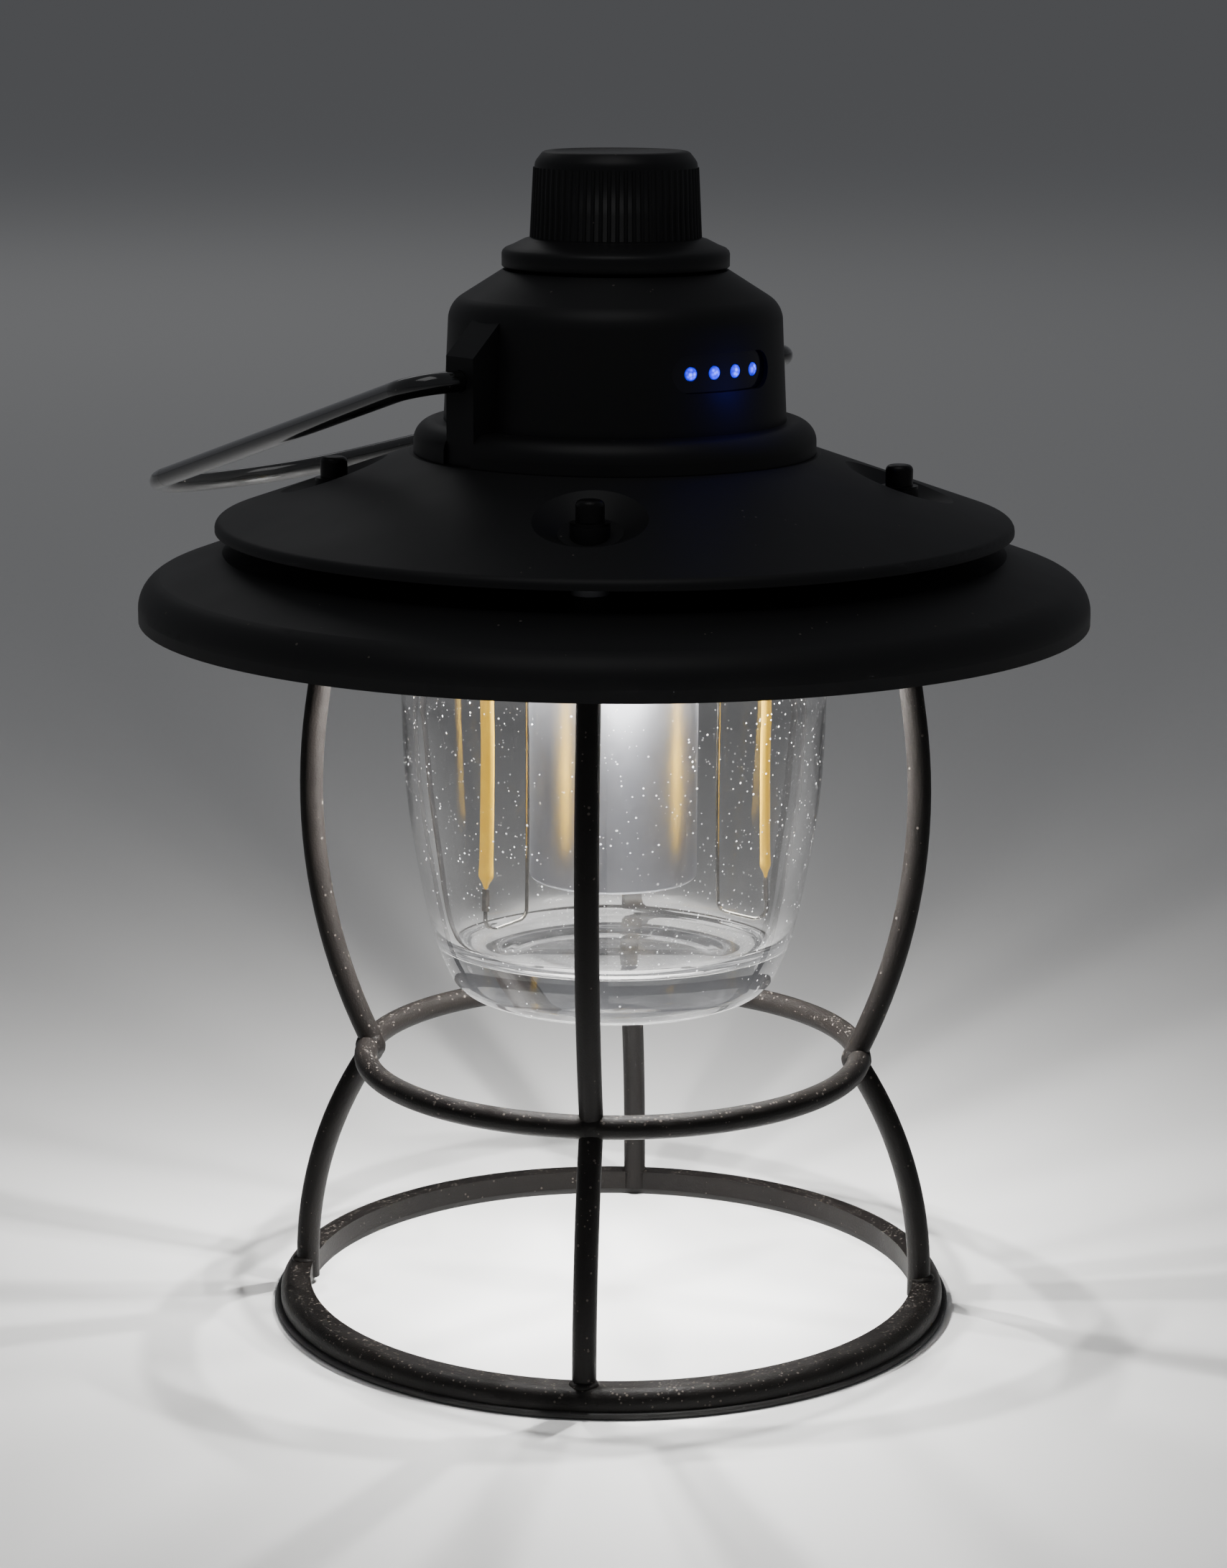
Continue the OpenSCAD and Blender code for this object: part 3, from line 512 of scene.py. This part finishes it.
def make_globe_glass():
    """Clear polished glass with dust specks and a painted glow in its foot, which stands for the light
    piped down the wall; the specks carry a painted highlight. Its shadow is thin, so that the light gets out."""
    material, tree, shader = start_material("clear_globe", globe_polish)
    shader.inputs["Transmission Weight"].default_value = 1.0
    shader.inputs["IOR"].default_value = globe_light_index
    fine = group_in(
        tree, dust_group, {"Speck Size": 0.8 * mm, "Everywhere": 0.6, "On Top": 0.1, "Largest": 0.2}
    )
    thin = node(tree, "ShaderNodeTexNoise")
    thin.inputs["Scale"].default_value = 1.0
    thin.inputs["Detail"].default_value = 2.0
    feed(tree, thin.inputs["Vector"], place_in_cells(tree, 9 * mm))
    patchy = maths(tree, "GREATER_THAN", thin.outputs["Fac"], 0.47)
    specks = maths(tree, "MULTIPLY", fine.outputs["Mask"], patchy)
    dull = maths(tree, "MULTIPLY", specks, 0.9)
    feed(tree, shader.inputs["Roughness"], maths(tree, "ADD", dull, globe_polish))
    # Painted glow in the foot, stronger the lower down and in streaks, standing in for light piped down the
    # wall
    height = node(tree, "ShaderNodeSeparateXYZ")
    feed(tree, height.inputs[0], place_in_cells(tree, globe_base_t))
    foot_top = (globe_low.z + globe_base_t) / globe_base_t
    low_down = maths(tree, "SUBTRACT", foot_top, height.outputs["Z"], True)
    painted_glow_streaks = group_in(tree, grain_group, {"Grain Size": 2.2 * mm, "Tone Size": 7 * mm})
    painted_foot_glow = maths(tree, "MULTIPLY", low_down, maths(tree, "POWER", painted_glow_streaks.outputs["Tone"], 2.0))
    painted_foot_glow = maths(tree, "MULTIPLY", painted_foot_glow, maths(tree, "ADD", low_down, 0.15))
    # The dust specks also glow white: a painted highlight on real dust, which also roughens the glass
    glow = maths(tree, "MAXIMUM", maths(tree, "MULTIPLY", specks, 0.8), painted_foot_glow)
    feed(tree, shader.inputs["Emission Color"], blended(tree, glow, (0, 0, 0, 1), painted_glow_tint))
    shader.inputs["Emission Strength"].default_value = globe_painted_glow
    shadow = node(tree, "ShaderNodeLightPath").outputs["Is Shadow Ray"]
    let_through = maths(tree, "MULTIPLY", shadow, shadow_let_through)
    feed(tree, shader.inputs["Alpha"], maths(tree, "SUBTRACT", 1.0, let_through))
    return material


def globe_line(points):
    """A smooth line through shares and heights, in metres."""
    return [(share * globe_r, globe_low.z + up * mm) for share, up in smooth_line(points, globe_steps)]


globe_outline = globe_line(globe_side)
globe_floor_line = globe_line(globe_bore)
globe_outline += [
    (globe_r, globe_high.z - globe_flange_t), (globe_flange_r, globe_high.z - globe_flange_t),
    (globe_flange_r, globe_high.z), (globe_floor_line[-1][0], globe_high.z),
]
globe_outline += globe_floor_line[::-1]
globe = lathe("globe_glass", globe_outline, globe_turns, make_globe_glass())
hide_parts("globe")
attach(globe, "lantern")

# ---------------------------------------------------------------------------------------------
# The lamp plate: the ring and the silicone gasket hold the globe up to a pressed aluminium plate,
# and four screws hold the plate, with a white reflector under it, to the lower shade.

plated = grained(
    "zinc_plate", (0.50, 0.50, 0.50), (0.66, 0.66, 0.67), 0.3, 1.0, grain=0.2, depth=0.01, tone=3
)
pressed = grained(
    "pressed_aluminium", (0.58, 0.58, 0.58), (0.70, 0.70, 0.70), 0.4, 1.0, grain=0.3, tone=8
)
clear_silicone = grained("clear_silicone", (0.60, 0.60, 0.58), (0.70, 0.70, 0.68), 0.5, depth=0.02)
reflector_enamel = grained("reflector_enamel", (0.74, 0.74, 0.71), (0.84, 0.84, 0.81), 0.3, depth=0.01)
dress(shade_lacquer, "globe_ring")
dress(pressed, "lamp_plate")
dress(reflector_enamel, "reflector")
dress(clear_silicone, "globe_gasket")
dress(plated, "lamp_screws", "lamp_nuts")

# ---------------------------------------------------------------------------------------------
# The filaments: three glass strips of small diodes under yellow phosphor silicone, each with a metal
# tail. The silicone glows white on the side that faces the tube and amber towards its edges and tip.

filament_turns = [math.radians(angle) for angle in (60, 180, 300)]
filament_r = 22.8 * mm
filament_half_w = 1.16 * mm
filament_half_t = 0.62 * mm
filament_sides = 28
filament_rows = 48
filament_squareness = 0.8
phosphor_colour = (0.20, 0.12, 0.004, 1)
glow_strength = 5.0
glow_amber = (0.120, 0.066, 0.0, 1)
glow_yellow = (0.20, 0.140, 0.0, 1)
glow_white = (0.85, 0.76, 0.36, 1)
# How many, angle of the first, radius, height, watts, and whether glass and gloss show it
inner_lights = {
    "plate_light": (3, 0.0, 19 * mm, 103.5 * mm, 0.42, True),
    "filament_light": (3, math.pi / 3, 20.3 * mm, 82 * mm, 0.62, False),
}
inner_light_r = 1.3 * mm
inner_light_colour = (1.0, 0.99, 0.975)
filament_low, filament_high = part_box("filaments")
tip_top = 0.35 * mm
bulb_top = 1.9 * mm
neck_top = 3.6 * mm
tip_width, neck_width, bulb_width = 0.08, 0.38, 1.08


def filament_taper(up):
    """Share of full width at a height in metres above the strip's lower tip."""
    if up < tip_top:
        return (neck_width - tip_width) * math.sqrt(up / tip_top) + tip_width
    if up < bulb_top:
        rise = (up - tip_top) / (bulb_top - tip_top)
        return neck_width + (bulb_width - neck_width) * rise * rise * (3 - 2 * rise)
    if up < neck_top:
        return bulb_width - (bulb_width - 1) * (up - bulb_top) / (neck_top - bulb_top)
    return 1.0


def make_filament_glow():
    """Phosphor silicone lit from inside. The heat attribute runs from the strip's edge to its bright
    face."""
    material, tree, shader = start_material("filament_phosphor", 0.4)
    heat = node(tree, "ShaderNodeAttribute", attribute_name="heat").outputs["Fac"]
    grain = group_in(tree, grain_group, {"Grain Size": 0.5 * mm, "Tone Size": 3 * mm})
    patchy = maths(tree, "SUBTRACT", grain.outputs["Tone"], middle_tone)
    warm = maths(tree, "ADD", heat, maths(tree, "MULTIPLY", patchy, 0.25), True)
    ramp = node(tree, "ShaderNodeValToRGB")
    ramp.color_ramp.elements[0].color = glow_amber
    ramp.color_ramp.elements[1].color = glow_white
    ramp.color_ramp.elements[1].position = 0.8
    ramp.color_ramp.elements.new(0.4).color = glow_yellow
    feed(tree, ramp.inputs[0], warm)
    feed(tree, shader.inputs["Emission Color"], ramp.outputs["Color"])
    shader.inputs["Base Color"].default_value = phosphor_colour
    shader.inputs["Emission Strength"].default_value = glow_strength
    bump_into(tree, shader, grain.outputs["Height"], 0.02 * mm)
    return material


def squared(value):
    """A sine or cosine bent outwards, so that a circle becomes a rounded square."""
    return math.copysign(abs(value) ** filament_squareness, value)


def make_filaments():
    """Three strips stood round the tube, each a stack of rounded-square rings."""
    bm = bmesh.new()
    heat = bm.verts.layers.float.new("heat")
    tall = filament_high.z - filament_low.z
    for turn in filament_turns:
        out = Vector((math.cos(turn), math.sin(turn), 0))
        side = Vector((-out.y, out.x, 0))
        rings = []
        for row in range(filament_rows + 1):
            up = tall * (row / filament_rows) ** 2 if row else 0.0
            wide = filament_taper(up)
            ring = []
            for k in range(filament_sides):
                around = math.tau * k / filament_sides
                across = squared(math.sin(around)) * filament_half_w * wide
                thick = squared(math.cos(around)) * filament_half_t * wide
                middle = out * (filament_r + thick) + side * across
                vert = bm.verts.new(middle + Vector((0, 0, filament_low.z + up)))
                inward = 0.5 - 0.5 * math.cos(around)
                vert[heat] = min(1.0, max(0.0, 1.5 * inward - 0.1)) * min(1.0, 0.25 + up / (14 * mm))
                ring.append(vert)
            rings.append(ring)
        for low, high in zip(rings, rings[1:]):
            for k in range(filament_sides):
                after = (k + 1) % filament_sides
                bm.faces.new((low[k], low[after], high[after], high[k])).smooth = True
        bm.faces.new(rings[0])
        bm.faces.new(rings[-1])
    return new_piece("filament_strips", bm, make_filament_glow())


filaments = make_filaments()
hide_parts("filaments")
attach(filaments, "lantern")

for light_name, (how_many, first_turn, out_by, up_by, watts, seen) in inner_lights.items():
    for count in range(how_many):
        turn = first_turn + math.tau * count / how_many
        glow_data = bpy.data.lights.new(f"{light_name}_{count}", "POINT")
        glow_data.energy = watts
        glow_data.shadow_soft_size = inner_light_r
        glow_data.color = inner_light_colour
        glow = bpy.data.objects.new(f"{light_name}_{count}", glow_data)
        glow.location = (out_by * math.cos(turn), out_by * math.sin(turn), up_by)
        glow.visible_camera = False
        glow.visible_transmission = seen
        glow.visible_glossy = seen
        bpy.context.scene.collection.objects.link(glow)

nickel = grained(
    "nickel_lead", (0.22, 0.21, 0.19), (0.50, 0.48, 0.45), 0.2, 1.0, grain=0.2, depth=0.01, tone=2
)
tail_metal = grained(
    "tinned_tail", (0.10, 0.09, 0.08), (0.34, 0.31, 0.28), 0.35, 1.0, grain=0.3, depth=0.04, tone=0.8
)
ivory = grained("ivory_holder", (0.60, 0.57, 0.48), (0.70, 0.67, 0.58), 0.5, depth=0.02)
dress(nickel, "filament_wires")
dress(tail_metal, "filament_tabs")
dress(ivory, "filament_holders")

# ---------------------------------------------------------------------------------------------
# The battery tube: bead-blasted aluminium, anodised a cool silver, with a turned lower rim. Inside it
# are a paper sleeve, the cell, a contact spring at the foot and a contact plate above.

tube_low, tube_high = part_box("battery_tube")
tube_wall = 0.95 * mm
tube_rim = 0.45 * mm
rim_steps = 8
tube_turns = 128
tube_r = tube_high.x
tube_silver = grained(
    "blasted_anodised_silver", (0.50, 0.51, 0.55), (0.60, 0.61, 0.65), 0.33, 1.0, grain=0.22,
    depth=0.02, tone=16, swing=0.08, dust=(0.03, 0.0), speck=0.5, dust_colour=(0.9, 0.9, 0.9),
)
tube_outline = [(tube_r - tube_wall, tube_low.z), (tube_r - tube_rim, tube_low.z)]
for step in range(1, rim_steps + 1):
    bend = math.pi / 2 * step / rim_steps
    rim_out = tube_r - tube_rim + tube_rim * math.sin(bend)
    rim_up = tube_low.z + tube_rim - tube_rim * math.cos(bend)
    tube_outline.append((rim_out, rim_up))
tube_outline += [(tube_r, tube_high.z), (tube_r - tube_wall, tube_high.z)]
battery_tube = lathe("battery_tube_shell", tube_outline, tube_turns, tube_silver)
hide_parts("battery_tube")
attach(battery_tube, "lantern")
cell_wrap = grained("cell_wrap", (0.03, 0.08, 0.20), (0.04, 0.10, 0.25), 0.35)
paper = grained("paper_sleeve", (0.50, 0.45, 0.32), (0.60, 0.55, 0.40), 0.8, tone=5)
gold = grained("gold_contact", (0.70, 0.50, 0.20), (0.80, 0.60, 0.30), 0.3, 1.0)
dress(tube_silver, "tube_cap")
dress(bright_spacer, "tube_collar")
dress(paper, "battery_sleeve")
dress(cell_wrap, "battery_cell")
dress(nickel, "contact_spring")
dress(gold, "contact_plate")

# ---------------------------------------------------------------------------------------------
# The head: one moulded housing with two lugs for the bail, a slot in front and a charging port
# behind. Screws come up through the upper shade into its bosses, and the main board sits on them.

head_plastic = grained(
    "head_plastic", (0.0065, 0.0065, 0.007), (0.0095, 0.0095, 0.010), 0.46, grain=0.22, depth=0.012, tone=18,
    swing=0.12, dust=(0.0, 0.004), speck=0.5, shine=0.3,
)
green_board = grained("green_board", (0.01, 0.10, 0.04), (0.02, 0.14, 0.06), 0.35, tone=3)
port_shell = grained("port_shell", (0.60, 0.60, 0.60), (0.70, 0.70, 0.70), 0.3, 1.0)
dress(head_plastic, "top_housing")
dress(plated, "housing_screws", "board_screws", "cover_pin")
dress(green_board, "main_board", "indicator_board")
dress(port_shell, "charge_port")

# ---------------------------------------------------------------------------------------------
# The battery indicator: four blue diodes on a small board, seen through a smoked bezel that fills
# the slot in front. Each diode ends in a clear dome, brighter and paler in its middle.

light_low, light_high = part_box("indicator_lights")
light_r = 0.93 * mm
light_at = 23.6 * mm
light_bulge = 0.42 * mm
light_pitch = math.radians(9.4)
light_z = (light_low.z + light_high.z) / 2
light_count = 4
light_deep = 1.9 * mm
light_sides = 24
light_rows = 8
blue_strength = 4.0
blue_rim = (0.0, 0.0, 0.22, 1)
blue_body = (0.006, 0.006, 0.75, 1)
blue_core = (0.13, 0.19, 1.0, 1)
blue_off = (0.02, 0.02, 0.25, 1)
blue_watts = 0.0024
spill_out = 27.5 * mm
spill_down = 2 * mm
spill_r = 2 * mm


def make_blue_glow():
    """Blue light under a clear dome. The core attribute falls from its tip to its rim."""
    material, tree, shader = start_material("blue_light", 0.12)
    core = node(tree, "ShaderNodeAttribute", attribute_name="core").outputs["Fac"]
    glints = node(tree, "ShaderNodeTexVoronoi")
    feed(tree, glints.inputs["Vector"], place_in_cells(tree, 0.55 * mm))
    glints.inputs["Scale"].default_value = 1.0
    spark = maths(tree, "SUBTRACT", 1.15, maths(tree, "MULTIPLY", glints.outputs["Distance"], 1.3))
    heat = maths(tree, "MULTIPLY", core, spark, True)
    ramp = node(tree, "ShaderNodeValToRGB")
    ramp.color_ramp.elements[0].color = blue_rim
    ramp.color_ramp.elements[1].color = blue_core
    ramp.color_ramp.elements[1].position = 0.85
    ramp.color_ramp.elements.new(0.35).color = blue_body
    feed(tree, ramp.inputs[0], heat)
    feed(tree, shader.inputs["Emission Color"], ramp.outputs["Color"])
    shader.inputs["Base Color"].default_value = blue_off
    shader.inputs["Emission Strength"].default_value = blue_strength
    return material


def make_indicator_lights():
    """Four short cylinders behind the bezel, each ending in a shallow dome."""
    bm = bmesh.new()
    core = bm.verts.layers.float.new("core")
    for count in range(light_count):
        turn = (count - (light_count - 1) / 2) * light_pitch - math.pi / 2
        out = Vector((math.cos(turn), math.sin(turn), 0))
        side = Vector((-out.y, out.x, 0))
        rings = []
        for row in range(light_rows + 1):
            open_angle = math.pi / 2 * min(1.0, row / (light_rows - 1))
            flat = math.sin(open_angle) * light_r
            forward = light_at - light_bulge * (1 - math.cos(open_angle))
            if row == light_rows:
                forward = light_at - light_deep
            middle = out * forward + Vector((0, 0, light_z))
            if row == 0:
                tip = bm.verts.new(middle)
                tip[core] = 1.0
                rings.append([tip] * light_sides)
                continue
            ring = []
            for k in range(light_sides):
                around = math.tau * k / light_sides
                across = side * (flat * math.cos(around))
                vert = bm.verts.new(middle + across + Vector((0, 0, flat * math.sin(around))))
                vert[core] = max(0.0, 1.0 - (flat / light_r) ** 2)
                ring.append(vert)
            rings.append(ring)
        for low, high in zip(rings, rings[1:]):
            for k in range(light_sides):
                after = (k + 1) % light_sides
                corners = list(dict.fromkeys((low[k], low[after], high[after], high[k])))
                bm.faces.new(corners).smooth = True
        bm.faces.new(rings[-1])
    return new_piece("indicator_lenses", bm, make_blue_glow())


indicator_lights = make_indicator_lights()
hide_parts("indicator_lights")
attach(indicator_lights, "lantern")
smoked = grained("smoked_bezel", (0.004, 0.004, 0.005), (0.007, 0.007, 0.008), 0.16, depth=0.004, tone=10)
dress(smoked, "indicator_bezel")
blue_data = bpy.data.lights.new("blue_spill", "POINT")
blue_data.energy = blue_watts
blue_data.shadow_soft_size = spill_r
blue_data.color = (0.02, 0.02, 1.0)
blue_spill = bpy.data.objects.new("blue_spill", blue_data)
blue_spill.location = (0, -spill_out, light_z - spill_down)
blue_spill.visible_camera = False
blue_spill.visible_transmission = False
blue_spill.visible_glossy = False
bpy.context.scene.collection.objects.link(blue_spill)

# ---------------------------------------------------------------------------------------------
# The dimmer: a panel control whose threaded neck is nutted to the housing's crown, and a moulded
# knob pushed on its flatted shaft. The knob has a skirt, and fine ribs round its grip for the thumb.

knob_low, knob_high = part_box("dimmer_knob")
knob_turns = 128
knob_sharp = math.radians(30)
rib_count = 64
rib_half = 0.3 * mm
grip_low = (11.95 * mm, 157.0 * mm)
grip_top = (11.45 * mm, 167.0 * mm)
rib_top = 166.7 * mm
rib_sunk = 0.1 * mm
knob_floor = 3.4 * mm
knob_dip = 0.12 * mm
knob_plastic = grained(
    "knob_plastic", (0.0065, 0.0065, 0.007), (0.010, 0.010, 0.0105), 0.42, grain=0.2, depth=0.010, tone=10,
    swing=0.12, dust=(0.004, 0.01), speck=0.35, shine=0.3,
)
skirt_outer = knob_high.x
skirt_bottom = knob_low.z
knob_profile = [
    (0.0, skirt_bottom + knob_floor), (7.5 * mm, skirt_bottom + knob_floor),
    (skirt_outer - 1.8 * mm, skirt_bottom + 0.8 * mm), (skirt_outer - 1.8 * mm, skirt_bottom),
    (skirt_outer - 0.15 * mm, skirt_bottom), (skirt_outer, skirt_bottom + 0.15 * mm),
    (skirt_outer, skirt_bottom + 1.9 * mm), (skirt_outer - 0.12 * mm, skirt_bottom + 2.25 * mm),
    (skirt_outer - 0.5 * mm, skirt_bottom + 2.6 * mm), (14.6 * mm, 155.9 * mm), (13.0 * mm, 156.7 * mm),
    (12.35 * mm, 156.86 * mm), (12.05 * mm, 157.1 * mm), grip_low, grip_top, (11.38 * mm, 167.4 * mm),
    (11.15 * mm, 167.8 * mm), (10.4 * mm, 168.75 * mm), (10.05 * mm, 168.93 * mm),
    (9.6 * mm, knob_high.z), (8.9 * mm, knob_high.z), (8.6 * mm, knob_high.z - knob_dip),
    (0.0, knob_high.z - knob_dip),
]


def make_rib_tree():
    """Half-round ribs stood round a circle and leant in with the grip's taper."""
    tree, given, out = new_group(
        "grip_ribs",
        [
            ("Geometry", "NodeSocketGeometry", None),
            ("Count", "NodeSocketInt", 64),
            ("Foot Radius", "NodeSocketFloat", 12 * mm),
            ("Foot Height", "NodeSocketFloat", 157 * mm),
            ("Rib Radius", "NodeSocketFloat", 0.3 * mm),
            ("Rib Length", "NodeSocketFloat", 9.7 * mm),
            ("Lean", "NodeSocketFloat", 0.05),
            ("Finish", "NodeSocketMaterial", None),
        ],
        [("Geometry", "NodeSocketGeometry")],
        "GeometryNodeTree",
    )
    circle = node(tree, "GeometryNodeMeshCircle", fill_type="NONE")
    feed(tree, circle.inputs["Vertices"], given.outputs["Count"])
    feed(tree, circle.inputs["Radius"], given.outputs["Foot Radius"])
    rib = node(tree, "GeometryNodeMeshCylinder", fill_type="TRIANGLE_FAN")
    rib.inputs["Vertices"].default_value = 10
    feed(tree, rib.inputs["Radius"], given.outputs["Rib Radius"])
    feed(tree, rib.inputs["Depth"], given.outputs["Rib Length"])
    lift = node(tree, "ShaderNodeCombineXYZ")
    feed(tree, lift.inputs["Z"], maths(tree, "MULTIPLY", given.outputs["Rib Length"], 0.5))
    stood = node(tree, "GeometryNodeTransform")
    feed(tree, stood.inputs["Geometry"], rib.outputs["Mesh"])
    feed(tree, stood.inputs["Translation"], lift.outputs[0])
    place = node(tree, "ShaderNodeSeparateXYZ")
    feed(tree, place.inputs[0], node(tree, "GeometryNodeInputPosition").outputs[0])
    turn = node(tree, "ShaderNodeCombineXYZ")
    feed(tree, turn.inputs["Z"], maths(tree, "ARCTAN2", place.outputs["Y"], place.outputs["X"]))
    feed(tree, turn.inputs["Y"], maths(tree, "MULTIPLY", given.outputs["Lean"], -1.0))
    ribs = node(tree, "GeometryNodeInstanceOnPoints")
    feed(tree, ribs.inputs["Points"], circle.outputs["Mesh"])
    feed(tree, ribs.inputs["Instance"], stood.outputs[0])
    feed(tree, ribs.inputs["Rotation"], turn.outputs[0])
    up = node(tree, "ShaderNodeCombineXYZ")
    feed(tree, up.inputs["Z"], given.outputs["Foot Height"])
    raised = node(tree, "GeometryNodeTransform")
    feed(tree, raised.inputs["Geometry"], ribs.outputs[0])
    feed(tree, raised.inputs["Translation"], up.outputs[0])
    real = node(tree, "GeometryNodeRealizeInstances")
    feed(tree, real.inputs[0], raised.outputs[0])
    painted = node(tree, "GeometryNodeSetMaterial")
    feed(tree, painted.inputs["Geometry"], real.outputs[0])
    feed(tree, painted.inputs["Material"], given.outputs["Finish"])
    feed(tree, out.inputs[0], painted.outputs[0])
    return tree


knob = lathe("knob_body", knob_profile, knob_turns, knob_plastic, knob_sharp)
grip_lean = math.atan((grip_low[0] - grip_top[0]) / (grip_top[1] - grip_low[1]))
knob_ribs = grow(
    "knob_ribs", points_mesh("knob_rib_places", []), make_rib_tree(),
    {
        "Count": rib_count, "Foot Radius": grip_low[0] - rib_sunk, "Foot Height": grip_low[1],
        "Rib Radius": rib_half, "Rib Length": rib_top - grip_low[1], "Lean": grip_lean,
        "Finish": knob_plastic,
    },
)
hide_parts("dimmer_knob")
for knob_piece in (knob, knob_ribs):
    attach(knob_piece, "knob")
dress(plated, "dimmer_washer", "dimmer_nut")
dress(pressed, "dimmer_body", "dimmer_shaft")

# ---------------------------------------------------------------------------------------------
# The bail: one length of steel wire bent to a loop, its two turned-in ends sprung into the lugs.
# It has a glossy black dip coat that shows the light along its length.

gloss_coat = grained(
    "gloss_dip_coat", (0.006, 0.006, 0.006), (0.010, 0.010, 0.010), 0.14, grain=1.2, depth=0.012, tone=14,
    swing=0.06, dust=(0.01, 0.03), speck=0.35, coat=1.0,
)
dress(gloss_coat, "bail")

# ---------------------------------------------------------------------------------------------
# The port cover: a moulded rubber flap over the charging port behind the head, on a pin between
# two small ears.

cover_rubber = grained("cover_rubber", (0.010, 0.010, 0.010), (0.016, 0.016, 0.016), 0.62, depth=0.02, tone=6)
dress(cover_rubber, "port_cover")
